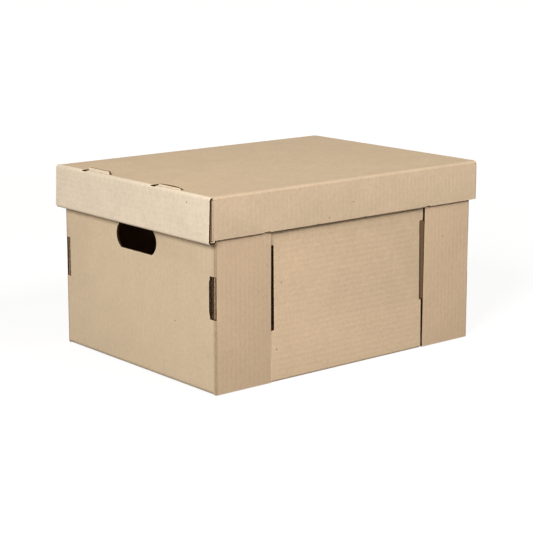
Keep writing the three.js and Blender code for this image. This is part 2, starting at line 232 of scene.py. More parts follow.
def rounded(points, closed):
    """(points, arcs): the corners rounded, where a point is (x, y) or (x, y, radius).

    arcs holds the first and last index of each rounded corner."""
    result, arcs = [], []

    def add(point):
        if not result or np.linalg.norm(point - result[-1]) > SAME_POINT:
            result.append(np.array(point, float))

    for index, point in enumerate(points):
        corner = np.array(point[:2], float)
        radius = point[2] if len(point) > 2 else 0
        at_end = not closed and index in (0, len(points) - 1)
        if radius == 0 or at_end:
            add(corner)
            continue
        before = np.array(points[index - 1][:2], float)
        after = np.array(points[(index + 1) % len(points)][:2], float)
        arriving = (corner - before) / np.linalg.norm(corner - before)
        leaving = (after - corner) / np.linalg.norm(after - corner)
        cross = arriving[0] * leaving[1] - arriving[1] * leaving[0]
        turn = math.atan2(cross, arriving @ leaving)
        start = corner - arriving * radius * math.tan(abs(turn) / 2)
        side = math.copysign(radius, turn)
        centre = start + np.array([-arriving[1], arriving[0]]) * side
        first = len(result)
        for step in range(FOLD_STEPS + 1):
            add(turned(start, centre, turn * step / FOLD_STEPS))
        arcs.append((first, len(result) - 1))
    return result, arcs


def closed_outline(points):
    """A closed drawing of (crease, run) points, as plain tuples."""
    return [tuple(p) for p in rounded(points, True)[0]]


def rectangle(c0, u0, c1, u1):
    return [(c0, u0), (c1, u0), (c1, u1), (c0, u1)]


class Run:
    """The section of a strip of board: its outer face runs through the points, and its
    thickness lies on the right of that run. u measures along the middle of the board, from the
    value given for the first or the last point. It grows along the run, or against it with
    grows=-1. A scored run's creases are pressed thin, so that they turn sharply, and a crushed
    run is thin all along."""

    def __init__(self, points, first=None, last=None, grows=1, scored=False, crushed=False):
        outer, arcs = rounded(points, False)
        outer, arcs = self.with_supports(outer, arcs)
        inward = []
        for index, point in enumerate(outer):
            before = outer[max(index - 1, 0)]
            after = outer[min(index + 1, len(outer) - 1)]
            arriving = unit(point - before) if index else unit(after - point)
            leaving = unit(after - point) if index < len(outer) - 1 else arriving
            along = unit(arriving + leaving)
            mitre = 1 / (along @ arriving)
            inward.append(np.array([along[1], -along[0]]) * mitre)
        middle = [p + n * BOARD / 2 for p, n in zip(outer, inward)]
        lengths = [np.linalg.norm(b - a) for a, b in zip(middle, middle[1:])]
        travel = np.concatenate([[0], np.cumsum(lengths)])
        if first is None:
            first = last - grows * travel[-1]
        u = first + grows * travel
        order = np.argsort(u)
        self.u = u[order]
        self.outer = np.array(outer)[order]
        self.inward = np.array(inward)[order]
        self.arcs = [tuple(sorted((u[a], u[b]))) for a, b in arcs]
        self.scored, self.crushed = scored, crushed

    @staticmethod
    def with_supports(outer, arcs):
        """Adds points on the straight legs by each arc, so that shading stays flat there."""
        extra = {}
        for first, last in arcs:
            for corner, neighbour in ((first, first - 1), (last, last + 1)):
                if not 0 <= neighbour < len(outer):
                    continue
                leg = outer[neighbour] - outer[corner]
                length = np.linalg.norm(leg)
                for reach in (CREASE_FLAT, SCORE_FADE, CREASE_FADE):
                    if reach < length - SAME_POINT:
                        point = outer[corner] + leg * reach / length
                        key = min(corner, neighbour)
                        extra.setdefault(key, []).append(point)
        result, moved = [], {}
        for index, point in enumerate(outer):
            moved[index] = len(result)
            result.append(point)
            added = extra.get(index, [])
            added.sort(key=lambda p, start=point: np.linalg.norm(p - start))
            for new in added:
                if np.linalg.norm(new - result[-1]) > LEAST_STEP:
                    result.append(new)
        return result, [(moved[a], moved[b]) for a, b in arcs]

    @property
    def ends(self):
        return self.u[0], self.u[-1]

    def place(self, flat, crease):
        """Folds points (crease, run, depth) of flat board, with its crease along an axis."""
        c, u, depth = flat.T
        if self.scored:
            depth = depth * (1 - self.crease_share(u, SCORE_FADE) * (1 - SCORED_BOARD / BOARD))
        if self.crushed:
            depth = depth * (CRUSHED_BOARD / BOARD)
        outer = [np.interp(u, self.u, self.outer[:, k]) for k in (0, 1)]
        inward = [np.interp(u, self.u, self.inward[:, k]) for k in (0, 1)]
        p, q = (outer[k] + depth * inward[k] for k in (0, 1))
        columns = {"x": (c, p, q), "y": (p, c, q), "z": (p, q, c)}[crease]
        return np.column_stack(columns)

    def crease_share(self, u, fade=CREASE_FADE):
        """1 in a crease, falling to 0 a little way from it."""
        share = np.zeros_like(u)
        for first, last in self.arcs:
            away = np.maximum(np.maximum(first - u, u - last), 0)
            share = np.maximum(share, 1 - np.clip(away / fade, 0, 1))
        return share


def unit(v):
    return v / np.linalg.norm(v)


# Board: liners and fluting


def filled(outline, holes):
    """The drawing as a flat bmesh."""
    bm = bmesh.new()
    for loop in (outline, *holes):
        verts = [bm.verts.new((c, u, 0)) for c, u in loop]
        for a, b in zip(verts, verts[1:] + verts[:1]):
            bm.edges.new((a, b))
    bmesh.ops.triangle_fill(bm, use_beauty=True, edges=bm.edges[:])
    bmesh.ops.recalc_face_normals(bm, faces=bm.faces[:])
    return bm


def crush_edges(bm):
    """Insets the sheet all round, with z = 1 on its cut edges and 0 inside them."""
    bmesh.ops.inset_region(
        bm, faces=bm.faces[:], thickness=EDGE_CRUSH_WIDTH, use_boundary=True, use_even_offset=True
    )
    for v in bm.verts:
        v.co.z = 1 if v.is_boundary else 0


def bisect(bm, axis, at):
    """Adds a straight line of edges across a bmesh."""
    normal = (1, 0, 0) if axis == 0 else (0, 1, 0)
    point = tuple(at * n for n in normal)
    geometry = bm.verts[:] + bm.edges[:] + bm.faces[:]
    bmesh.ops.bisect_plane(bm, geom=geometry, dist=SAME_POINT, plane_co=point, plane_no=normal)


def within(value, limits):
    low, high = limits
    return (low is None or value > low) and (high is None or value < high)


def trim(bm, kept):
    """Cuts a flat bmesh back to the boxes in kept, each (crease limits, run limits)."""
    for box in kept:
        for axis, limits in enumerate(box):
            for at in limits:
                if at is not None:
                    bisect(bm, axis, at)
    outside = []
    for face in bm.faces:
        c, u, _ = face.calc_center_median()
        if not any(within(c, box[0]) and within(u, box[1]) for box in kept):
            outside.append(face)
    bmesh.ops.delete(bm, geom=outside, context="FACES")


def shell(bm, upper, lower):
    """(points, faces, parts, edge) of a closed slab on a flat bmesh, between two depths.

    upper and lower give the depth from the edge value. parts is 0 on the upper face, 1 on the
    lower one and 2 on the sides."""
    bm.verts.index_update()
    flat = np.array([v.co for v in bm.verts])
    count = len(flat)
    edge = flat[:, 2]
    top = np.column_stack([flat[:, :2], upper(edge)])
    under = np.column_stack([flat[:, :2], lower(edge)])
    faces, parts = [], []
    for face in bm.faces:
        ring = [v.index for v in face.verts]
        faces.append(ring)
        faces.append([index + count for index in reversed(ring)])
        parts += [0, 1]
    for face in bm.faces:
        for loop in face.loops:
            if loop.edge.is_boundary:
                a, b = loop.vert.index, loop.link_loop_next.vert.index
                faces.append([b, a, a + count, b + count])
                parts.append(2)
    return np.vstack([top, under]), faces, parts, np.concatenate([edge, edge])


def plain_mesh(points, faces):
    mesh = bpy.data.meshes.new("flat")
    mesh.from_pydata([tuple(p) for p in points], [], [tuple(f) for f in faces])
    return mesh


def wave_solid(low, high, along, across):
    """A wavy sheet over a flat rectangle: the fluting before it is cut to the outline.

    across is the axis that the wave runs along, and along the axis of the flutes."""
    first = math.floor(low[across] / FLUTE_PITCH) - 1
    last = math.ceil(high[across] / FLUTE_PITCH) + 1
    count = (last - first) * FLUTE_SAMPLES + 1
    at = np.linspace(first, last, count) * FLUTE_PITCH
    height = (BOARD - 2 * LINER - MEDIUM) / 2 + LINER * FLUTE_SINK_SHARE
    wave = BOARD / 2 + height * np.sin(at * 2 * math.pi / FLUTE_PITCH)
    rows = []
    for end in (low[along] - OVERRUN, high[along] + OVERRUN):
        for side in (-MEDIUM / 2, MEDIUM / 2):
            row = np.zeros((count, 3))
            row[:, across] = at
            row[:, along] = end
            row[:, 2] = wave + side
            rows.append(row)
    faces = []
    ring = [0, 1, 3, 2]
    for k in range(count - 1):
        for a, b in zip(ring, ring[1:] + ring[:1]):
            faces.append([a * count + k, b * count + k, b * count + k + 1, a * count + k + 1])
    faces.append([r * count for r in reversed(ring)])
    faces.append([r * count + count - 1 for r in ring])
    return plain_mesh(np.vstack(rows), faces)


def fluting(bm, run, flutes):
    """(points, faces) of the fluting inside a flat bmesh, cut at the run's points."""
    flat = np.array([v.co for v in bm.verts])
    low, high = flat.min(0), flat.max(0)
    along = 0 if flutes == "crease" else 1
    wave = wave_solid(low, high, along, 1 - along)
    points, faces, _, _ = shell(bm, lambda e: e * 0 - OVERRUN, lambda e: e * 0 + OVERRUN)
    prism = plain_mesh(points, faces)
    for mesh in (wave, prism):
        outwards(mesh)
    wave_object = bpy.data.objects.new("wave", wave)
    prism_object = bpy.data.objects.new("prism", prism)
    for o in (wave_object, prism_object):
        bpy.context.scene.collection.objects.link(o)
    cutter = wave_object.modifiers.new("cut", "BOOLEAN")
    cutter.operation = "INTERSECT"
    cutter.solver = "MANIFOLD"
    cutter.object = prism_object
    evaluated = wave_object.evaluated_get(bpy.context.evaluated_depsgraph_get())
    cut = bmesh.new()
    cut.from_mesh(evaluated.to_mesh())
    for o in (wave_object, prism_object):
        bpy.data.objects.remove(o)
    for mesh in (wave, prism):
        bpy.data.meshes.remove(mesh)
    for at in run.u[1:-1]:
        bisect(cut, 1, at)
    cut.verts.index_update()
    points = np.array([v.co for v in cut.verts])
    faces = [[v.index for v in f.verts] for f in cut.faces]
    cut.free()
    return points, faces


def signed_volume(points, faces):
    """A closed mesh's volume, summed over tetrahedra: below zero where faces look inwards."""
    total = 0
    for face in faces:
        a = points[face[0]]
        for b, c in zip(face[1:], face[2:]):
            total += a @ np.cross(points[b], points[c])
    return total / 6


def outwards(mesh):
    """Turns a closed mesh's faces outwards."""
    bm = bmesh.new()
    bm.from_mesh(mesh)
    if bm.calc_volume(signed=True) < 0:
        bmesh.ops.reverse_faces(bm, faces=bm.faces[:])
    bm.to_mesh(mesh)
    bm.free()


LINER_FACE, CUT_EDGE, FLUTING = range(3)


def board_mesh(name, run, crease, outline, kept, holes=(), flutes="crease"):
    """One panel of folded board as a mesh, in millimetres.

    crease names the axis that its creases lie along, and flutes says whether the flutes lie
    along the crease or along the run."""
    sheet = filled(outline, holes)
    core = sheet.copy()
    crush_edges(sheet)
    for bm in (sheet, core):
        trim(bm, kept)
    for at in run.u[1:-1]:
        bisect(sheet, 1, at)

    def crushed(depth, way):
        return lambda edge: depth + way * EDGE_CRUSH_DEPTH * edge

    layers = [
        (crushed(0, 1), crushed(LINER, 1), (LINER_FACE, FLUTING, CUT_EDGE)),
        (crushed(BOARD - LINER, -1), crushed(BOARD, -1), (FLUTING, LINER_FACE, CUT_EDGE)),
    ]
    points, faces, slots, edges = [], [], [], []
    start = 0
    for upper, lower, finishes in layers:
        p, f, parts, edge = shell(sheet, upper, lower)
        points.append(p)
        faces += [[index + start for index in face] for face in f]
        slots += [finishes[part] for part in parts]
        edges.append(edge)
        start += len(p)
    p, f = fluting(core, run, flutes)
    points.append(p)
    faces += [[index + start for index in face] for face in f]
    slots += [FLUTING] * len(f)
    edges.append(np.zeros(len(p)))
    sheet.free()
    core.free()
    flat = np.vstack(points)
    folded = run.place(flat, crease)
    if signed_volume(folded, faces) < 0:
        faces = [list(reversed(face)) for face in faces]
    mesh = plain_mesh(folded, faces)
    mesh.name = name
    mesh.polygons.foreach_set("material_index", slots)
    add_attribute(mesh, "crease", run.crease_share(flat[:, 1]))
    add_attribute(mesh, "cut_edge", np.concatenate(edges))
    across = (1, 0) if flutes == "crease" else (0, 1)
    layer = mesh.uv_layers.new(name="flat_board")
    corners = np.empty(len(mesh.loops), int)
    mesh.loops.foreach_get("vertex_index", corners)
    uv = flat[corners][:, list(across)]
    layer.data.foreach_set("uv", uv.astype(np.float32).ravel())
    mesh.polygons.foreach_set("use_smooth", [True] * len(mesh.polygons))
    mesh.set_sharp_from_angle(angle=SHARP_ANGLE)
    mesh.update()
    return mesh


def add_attribute(mesh, name, values):
    attribute = mesh.attributes.new(name, "FLOAT", "POINT")
    attribute.data.foreach_set("value", values.astype(np.float32))


# Materials


def linear(red, green, blue):
    """A colour as seen on a screen, 0 to 255, made linear for a shader by the sRGB curve."""
    values = [c / 255 for c in (red, green, blue)]
    return tuple(v / 12.92 if v <= 0.04045 else ((v + 0.055) / 1.055) ** 2.4 for v in values)


SPECK = linear(104, 70, 40)
TONES = {
    "end": linear(208, 186, 156),
    "side": linear(207, 181, 150),
    "wing": linear(202, 175, 145),
    # Painted shade: the tabs are far darker than the wings, as the shade in their notches.
    "tab": linear(102, 80, 56),
    "inside": linear(198, 172, 140),
    # Painted shade: the lid's top is a shade darker than its skirts, to offset the light that
    # falls on it.
    "lid_top": linear(201, 177, 146),
    "lid_side": linear(211, 186, 156),
    "lid_flap": linear(211, 186, 156),
    # Painted sheen: the lid's ends are paler and whiter than its long skirts, as a glossy sheen.
    "lid_end": linear(225, 208, 184),
}
CUT_EDGE_TONE = linear(170, 138, 101)
# The fluting's own brown paper, darkened further as painted shade in its cells. The pieces listed
# next wear it on their cut edges too, as painted shade.
FLUTING_TONE_WITH_SHADE = linear(76, 52, 30)
SHADE_PAINTED_EDGES = ("end", "wing", "tab", "lid_flap")

# Noise patterns of the paper: scale per millimetre, detail and roughness
CLOUDS = (0.03, 3.0, 0.55)
MOTTLE = (0.22, 3.0, 0.6)
GRAIN = (1.1, 2.0, 0.7)
FIBRES = (1.0, 3.0, 0.6)
FIBRE_SCALE = (0.35, 2.2, 1.0)
HAIRS = (1.0, 2.0, 0.5)
HAIR_SCALE = (0.9, 0.12, 1.0)
FUZZ = (2.5, 3.0, 0.7)
PATCHES = (0.25, 2.0, 0.6)

# What the patterns add to a liner's shade, and how high they stand in millimetres
SHADE_SWINGS = {"clouds": 0.07, "mottle": 0.12, "grain": 0.16, "fibres": 0.10, "hairs": 0.05}
FLUTE_LINE_SHADE = 0.006
# Painted highlight: liner paper lighter along its cut edges.
CUT_EDGE_PAINTED_HIGHLIGHT = 0.14
CUT_EDGE_SWING = 0.12
FLUTING_SWING = 0.10
BUMP_SWINGS = {"grain": 0.02, "fibres": 0.03, "mottle": 0.03}
FLUTE_LINE_BUMP = 0.035
LINER_BUMP = 1.0
RAW_BUMP = 0.15
RAW_BUMP_STRENGTH = 0.8

LINER_ROUGHNESS = 0.82
ROUGHNESS_SWING = 0.1
RAW_ROUGHNESS = 0.95
LINER_SPECULAR = 0.15
RAW_SPECULAR = 0.2

# Specks: a cell's size, a speck's radius and the share of the cells that hold one
SMALL_SPECKS = (9.0, 0.75, 0.12)
LARGE_SPECKS = (38.0, 1.3, 0.07)
LARGE_SPECK_SCALE = (1.0, 1.3, 1.0)
SMALL_SPECK_DARKNESS = 0.3
LARGE_SPECK_DARKNESS = 0.85
SPECK_CORE_SHARE = 0.4

# What a fold's colour gains or loses, the share of the crease where that starts, and the grain
# that it shows on. Entries above zero make a fold paler, as wear does. The wing, tab, lid_side
# and lid_flap entries are painted shade: dark lines in the wings' corner creases, the tabs
# darker at their bends in the notches, the lid's flap folds darker, and a duller ridge on the
# lid's long skirts. The end entry darkens the end walls' bottom folds.
FOLD_WEAR_AND_SHADE = {
    "end": -0.2,
    "side": 0.05,
    "wing": -0.42,
    "tab": -1.1,
    "inside": 0.05,
    "lid_top": 0.08,
    "lid_side": -0.07,
    "lid_flap": -0.35,
    "lid_end": 0.03,
}
WEAR_AND_SHADE_START = {"wing": 0.82, "tab": 0.1}
USUAL_WEAR_AND_SHADE_START = 0.7
WEAR_AND_SHADE_GRAIN = (0.2, 0.6)


class Nodes:
    """A short way to write the nodes of a material or world."""

    def __init__(self, owner, shader="Principled BSDF"):
        owner.use_nodes = True
        self.tree = owner.node_tree
        self.shader = self.tree.nodes[shader]

    def link(self, value, socket):
        if isinstance(value, bpy.types.NodeSocket):
            self.tree.links.new(value, socket)
        else:
            socket.default_value = value

    def node(self, kind, inputs=(), **settings):
        made = self.tree.nodes.new("ShaderNode" + kind)
        for key, value in settings.items():
            setattr(made, key, value)
        for key, value in dict(inputs).items():
            self.link(value, made.inputs[key])
        return made

    def math(self, operation, a, b):
        made = self.node("Math", operation=operation)
        self.link(a, made.inputs[0])
        self.link(b, made.inputs[1])
        return made.outputs[0]

    def total(self, values):
        result = values[0]
        for value in values[1:]:
            result = self.math("ADD", result, value)
        return result

    def scaled(self, vector, scale):
        made = self.node("VectorMath", operation="MULTIPLY")
        self.link(vector, made.inputs[0])
        made.inputs[1].default_value = scale
        return made.outputs[0]

    def place(self):
        """Where a point lies in its object, in millimetres."""
        return self.scaled(self.node("TexCoord").outputs["Object"], (METRE,) * 3)

    def attribute(self, name):
        return self.node("Attribute", attribute_name=name).outputs["Fac"]

    def noise(self, vector, pattern):
        scale, detail, roughness = pattern
        inputs = {"Vector": vector, "Scale": scale, "Detail": detail, "Roughness": roughness}
        return self.node("TexNoise", inputs).outputs["Fac"]

    def swing(self, value, amount):
        """A pattern from 0 to 1 as a swing about zero, of about plus or minus the amount."""
        return self.math("MULTIPLY", self.math("SUBTRACT", value, 0.5), 2 * amount)

    def ramp(self, value, low, high):
        """0 below low and 1 above high, or the other way round where low is above high."""
        made = self.node("MapRange", {"Value": value, "From Min": low, "From Max": high})
        made.interpolation_type = "SMOOTHSTEP"
        return made.outputs[0]

    def mix(self, share, a, b):
        """Between two colours, which a Mix node takes at inputs 6 and 7 and gives at output 2."""
        made = self.node("Mix", data_type="RGBA")
        self.link(share, made.inputs["Factor"])
        self.link(a, made.inputs[6])
        self.link(b, made.inputs[7])
        return made.outputs[2]

    def toned(self, color, shades):
        """A colour times the sum of the shades."""
        tone = self.node("VectorMath", operation="SCALE")
        tone.inputs[0].default_value = color
        self.link(self.total(shades), tone.inputs["Scale"])
        return tone.outputs[0]

    def specks(self, vector, cell, radius, share):
        """A mask of round specks: one in each cell of that size for a share of the cells."""
        inputs = {"Vector": vector, "Scale": 1 / cell, "Randomness": 1.0}
        voronoi = self.node("TexVoronoi", inputs, voronoi_dimensions="2D")
        core = radius / cell * SPECK_CORE_SHARE
        near = self.ramp(voronoi.outputs["Distance"], radius / cell, core)
        pick = self.node("SeparateColor", {"Color": voronoi.outputs["Color"]}).outputs[0]
        chosen = self.math("LESS_THAN", pick, share)
        return self.math("MULTIPLY", near, chosen)

    def bump(self, height, distance, strength):
        inputs = {"Height": height, "Distance": distance / METRE, "Strength": strength}
        self.link(self.node("Bump", inputs).outputs[0], self.shader.inputs["Normal"])

    def seen_rays(self):
        """1 for rays from the camera and for glossy and transmitted ones, and 0 for the rest."""
        rays = self.node("LightPath").outputs
        seen = self.math("MAXIMUM", rays["Is Camera Ray"], rays["Is Glossy Ray"])
        return self.math("MAXIMUM", seen, rays["Is Transmission Ray"])


def liner_material(key):
    """Kraft liner: cloudy formation, fibres, specks, the fluting's faint lines, folds made paler
    by wear and some darkened by painted shade, and a painted highlight along cut edges.
    """
    material = bpy.data.materials.new(f"kraft_{key}")
    nodes = Nodes(material)
    shader = nodes.shader.inputs
    place = nodes.place()
    flat = nodes.node("UVMap", uv_map="flat_board").outputs["UV"]
    patterns = {
        "clouds": nodes.noise(place, CLOUDS),
        "mottle": nodes.noise(place, MOTTLE),
        "grain": nodes.noise(place, GRAIN),
        "fibres": nodes.noise(nodes.scaled(flat, FIBRE_SCALE), FIBRES),
        "hairs": nodes.noise(nodes.scaled(flat, HAIR_SCALE), HAIRS),
    }
    across = nodes.node("SeparateXYZ", {"Vector": flat}).outputs["X"]
    phase = nodes.math("MULTIPLY", across, 2 * math.pi / FLUTE_PITCH)
    lines = nodes.math("SINE", phase, 0.0)

    # Folds are made paler by wear, and pieces whose entry is below zero get painted shade in
    # their creases.
    wear_and_shade_start = WEAR_AND_SHADE_START.get(key, USUAL_WEAR_AND_SHADE_START)
    creased = nodes.ramp(nodes.attribute("crease"), wear_and_shade_start, 1.0)
    worn_and_shaded = nodes.math("MULTIPLY", creased, nodes.ramp(patterns["grain"], *WEAR_AND_SHADE_GRAIN))
    tone = nodes.toned(TONES[key], [
        1.0,
        *(nodes.swing(patterns[name], amount) for name, amount in SHADE_SWINGS.items()),
        nodes.math("MULTIPLY", lines, FLUTE_LINE_SHADE),
        nodes.math("MULTIPLY", worn_and_shaded, FOLD_WEAR_AND_SHADE[key]),
        # Painted highlight along the cut edges.
        nodes.math("MULTIPLY", nodes.attribute("cut_edge"), CUT_EDGE_PAINTED_HIGHLIGHT),
    ])
    small = nodes.specks(flat, *SMALL_SPECKS)
    large = nodes.specks(nodes.scaled(flat, LARGE_SPECK_SCALE), *LARGE_SPECKS)
    specks = nodes.math(
        "MAXIMUM",
        nodes.math("MULTIPLY", small, SMALL_SPECK_DARKNESS),
        nodes.math("MULTIPLY", large, LARGE_SPECK_DARKNESS),
    )
    nodes.link(nodes.mix(specks, tone, (*SPECK, 1)), shader["Base Color"])
    swing = nodes.swing(patterns["grain"], ROUGHNESS_SWING)
    nodes.link(nodes.math("ADD", LINER_ROUGHNESS, swing), shader["Roughness"])
    shader["Specular IOR Level"].default_value = LINER_SPECULAR
    height = nodes.total([
        nodes.math("MULTIPLY", lines, FLUTE_LINE_BUMP),
        *(nodes.swing(patterns[name], amount) for name, amount in BUMP_SWINGS.items()),
    ])
    nodes.bump(height, LINER_BUMP, 1.0)
    return material


def raw_material(name, color, swing):
    """Raw paper, as on cut edges and on the fluting."""
    material = bpy.data.materials.new(name)
    nodes = Nodes(material)
    shader = nodes.shader.inputs
    place = nodes.place()
    fuzz = nodes.noise(place, FUZZ)
    patches = nodes.noise(place, PATCHES)
    tone = nodes.toned(color, [1.0, nodes.swing(fuzz, swing), nodes.swing(patches, swing)])
    nodes.link(tone, shader["Base Color"])
    shader["Roughness"].default_value = RAW_ROUGHNESS
    shader["Specular IOR Level"].default_value = RAW_SPECULAR
    nodes.bump(fuzz, RAW_BUMP, RAW_BUMP_STRENGTH)
    return material


cut_edge_finish = raw_material("cut_edge", CUT_EDGE_TONE, CUT_EDGE_SWING)
# The fluting and the liners' inner faces take a brown darkened as painted shade.
fluting_with_shade_finish = raw_material("fluting", FLUTING_TONE_WITH_SHADE, FLUTING_SWING)
finishes = {key: liner_material(key) for key in TONES}


# Pieces

FREE = (None, None)  # limits that cut nothing


def add_board(node, tone, run, crease, outline, twin=None, **board):
    """The board of one panel, and of its twin: turned half a turn about Z in the body, and
    mirrored from front to back in the lid."""
    body = frame["nodes"][node]["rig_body"]
    mesh = board_mesh(node, run, crease, outline, **board)
    # The end walls, wings, tabs and lid flaps get the fluting's dark paper on their cut edges, as
    # painted shade.
    edge_finish = fluting_with_shade_finish if tone in SHADE_PAINTED_EDGES else cut_edge_finish
    for material in (finishes[tone], edge_finish, fluting_with_shade_finish):
        mesh.materials.append(material)
    copies = [(node, (1, 1, 1))]
    if twin:
        copies.append((twin, (1, -1, 1) if body == "lid" else (-1, -1, 1)))
    for name, signs in copies:
        own = mesh.copy()
        co = np.empty(len(own.vertices) * 3, np.float32)
        own.vertices.foreach_get("co", co)
        co = co.reshape(-1, 3) * np.array(signs) / METRE
        own.vertices.foreach_set("co", co.astype(np.float32).ravel())
        if math.prod(signs) < 0:
            own.flip_normals()
        own.update()
        piece = bpy.data.objects.new(f"{name}_board", own)
        bpy.context.scene.collection.objects.link(piece)
        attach(piece, body)
        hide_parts(name)
    bpy.data.meshes.remove(mesh)


# Body: the bottom and the end walls


def bottom_panel():
    half, width = BOTTOM_HALF_LENGTH, BOTTOM_HALF_WIDTH
    run = Run([(half + OVERRUN, 0), (-half - OVERRUN, 0)], first=half + OVERRUN, grows=-1)
    kept = [((-width, width), (-half, half))]
    outline = rectangle(-width - OVERRUN, -half - OVERRUN, width + OVERRUN, half + OVERRUN)
    add_board("bottom_panel", "inside", run, "y", outline, flutes="run", kept=kept)


def hand_hole():
    half = HANDLE_HEIGHT / 2
    middle = HANDLE_TOP - half
    sagitta = (HANDLE_WIDTH - HANDLE_FLAT) / 2
    radius = (half**2 + sagitta**2) / (2 * sagitta)
    centre = HANDLE_WIDTH / 2 - radius
    spread = math.asin(half / radius)
    points = []
    for side in (1, -1):
        for step in range(HANDLE_STEPS + 1):
            angle = spread * (2 * step / HANDLE_STEPS - 1)
            across = centre + radius * math.cos(angle)
            points.append((side * across, middle + side * radius * math.sin(angle)))
    return points


def ear_slot(side, slot_reach, relief):
    """The edge of an end wall's corner slot, from the joint and back to it, going up."""
    reach = BOTTOM_HALF_WIDTH + OVERRUN
    relief_foot, relief_top = LOCK_HEIGHT - RELIEF_HEIGHT / 2, LOCK_HEIGHT + RELIEF_HEIGHT / 2
    edge = SIDE_FACE - slot_reach
    points = [(reach, EAR_SLOT_FOOT), (edge, EAR_SLOT_FOOT)]
    if relief:
        points += [
            (edge, relief_foot - RELIEF_RAMP),
            (edge - relief, relief_foot),
            (edge - relief, relief_top),
            (edge, relief_top + RELIEF_RAMP),
        ]
    points += [(edge, EAR_SLOT_TOP), (reach, EAR_SLOT_TOP)]
    return [(side * c, u) for c, u in points]


def end_walls():
    points = [
        (-END_FACE + JOINT_REACH, 0),
        (-END_FACE, 0, FOLD_OUTSIDE),
        (-END_FACE, WALL_HEIGHT),
    ]
    run = Run(points, last=WALL_HEIGHT)
    joint = run.ends[0]
    half = BOTTOM_HALF_WIDTH + OVERRUN
    outline = [
        (-half, joint - OVERRUN),
        (half, joint - OVERRUN),
        *ear_slot(1, FAR_EAR_SLOT_REACH, 0),
        (half, WALL_HEIGHT),
        (-half, WALL_HEIGHT),
        *reversed(ear_slot(-1, NEAR_EAR_SLOT_REACH, EAR_SLOT_RELIEF)),
    ]
    kept = [((-BOTTOM_HALF_WIDTH, BOTTOM_HALF_WIDTH), (joint, None))]
    add_board(
        "left_end_wall", "end", run, "y", outline,
        twin="right_end_wall", holes=[hand_hole()], flutes="run", kept=kept,
    )


# Body: the wings and their tabs


def wing_outline(run, far_top, far_foot, side, wrap_share):
    """A wing's outline in (height, run). side is -1 where the wing turns the left corner."""
    joint = run.ends[0] if side < 0 else run.ends[1]
    beyond = joint + side * OVERRUN
    first, last = run.arcs[0]
    arc_start = first if side < 0 else last
    arc_end = last if side < 0 else first
    slot_edge = arc_start + wrap_share * (arc_end - arc_start)
    lift = left_wing[0].z
    return [
        (lift, far_foot),
        (lift, beyond),
        (EAR_SLOT_FOOT, beyond),
        (EAR_SLOT_FOOT, slot_edge),
        (EAR_SLOT_TOP, slot_edge),
        (EAR_SLOT_TOP, beyond),
        (WALL_HEIGHT, beyond),
        (WALL_HEIGHT, far_top),
    ]


def wings():
    reach = -SIDE_FACE + JOINT_REACH
    points = [
        (LEFT_SEAM, -SIDE_FACE),
        (-END_FACE, -SIDE_FACE, SCORED_RADIUS),
        (-END_FACE, reach),
    ]
    left = Run(points, first=LEFT_SEAM, grows=-1, scored=True)
    outline = wing_outline(left, LEFT_SEAM, LEFT_SEAM, -1, LEFT_SLOT_WRAP_SHARE)
    add_board(
        "front_left_wing", "wing", left, "z", outline,
        twin="back_right_wing", kept=[(FREE, (left.ends[0], None))],
    )
    points = [
        (END_FACE, reach),
        (END_FACE, -SIDE_FACE, SCORED_RADIUS),
        (RIGHT_SEAM_FOOT, -SIDE_FACE),
    ]
    right = Run(points, last=RIGHT_SEAM_FOOT, grows=-1, scored=True)
    outline = wing_outline(right, RIGHT_SEAM, RIGHT_SEAM_FOOT, 1, RIGHT_SLOT_WRAP_SHARE)
    add_board(
        "front_right_wing", "wing", right, "z", outline,
        twin="back_left_wing", kept=[(FREE, (None, right.ends[1]))],
    )


def locking_tab(node, twin, edge, notch, side, root_depth):
    """A wing's tab, which dives through the notch and lies crushed behind the long side."""
    ramp_end = notch - side * PLY_GAP
    tip = notch + side * TAB_REACH
    shallow = -SIDE_FACE + root_depth
    deep = -SIDE_FACE + TAB_OFFSET
    points = [(edge, shallow), (ramp_end, deep, TAB_BEND), (tip, deep)]
    travel = points[::-1] if side > 0 else points
    run = Run(travel, last=travel[-1][0], grows=-1, crushed=True)
    root, far = run.ends if side > 0 else run.ends[::-1]
    foot, top = left_tab[0].z, left_tab[1].z
    outline = closed_outline([
        (foot, root - side * OVERRUN),
        (foot, far, TAB_RADIUS),
        (top, far, TAB_RADIUS),
        (top, root - side * OVERRUN),
    ])
    joint = (root, None) if side > 0 else (None, root)
    add_board(node, "tab", run, "z", outline, twin=twin, kept=[(FREE, joint)])


# Body: the long sides


def front_panel():
    points = [
        (-SIDE_FACE + JOINT_REACH, 0),
        (-SIDE_FACE, 0, FOLD_OUTSIDE),
        (-SIDE_FACE + SIDE_LEAN * RIM_JOINT / WALL_HEIGHT, RIM_JOINT),
    ]
    run = Run(points, last=RIM_JOINT)
    joint = run.ends[0]
    left, right = side_panel[0].x, side_panel[1].x
    beyond = RIM_JOINT + OVERRUN
    outline = closed_outline([
        (left, joint - OVERRUN),
        (right - SEAM_STEP, joint - OVERRUN),
        (right - SEAM_STEP, NOTCH_FOOT),
        (NOTCH_RIGHT, NOTCH_FOOT, NOTCH_RADIUS),
        (NOTCH_RIGHT, NOTCH_TOP, NOTCH_RADIUS),
        (right, NOTCH_TOP, NOTCH_RADIUS),
        (right, beyond),
        (left, beyond),
        (left, NOTCH_TOP),
        (NOTCH_LEFT, NOTCH_TOP, NOTCH_RADIUS),
        (NOTCH_LEFT, NOTCH_FOOT, NOTCH_RADIUS),
        (left, NOTCH_FOOT),
    ])
    kept = [(FREE, (joint, RIM_JOINT))]
    add_board("front_panel", "side", run, "x", outline, twin="back_panel", kept=kept)


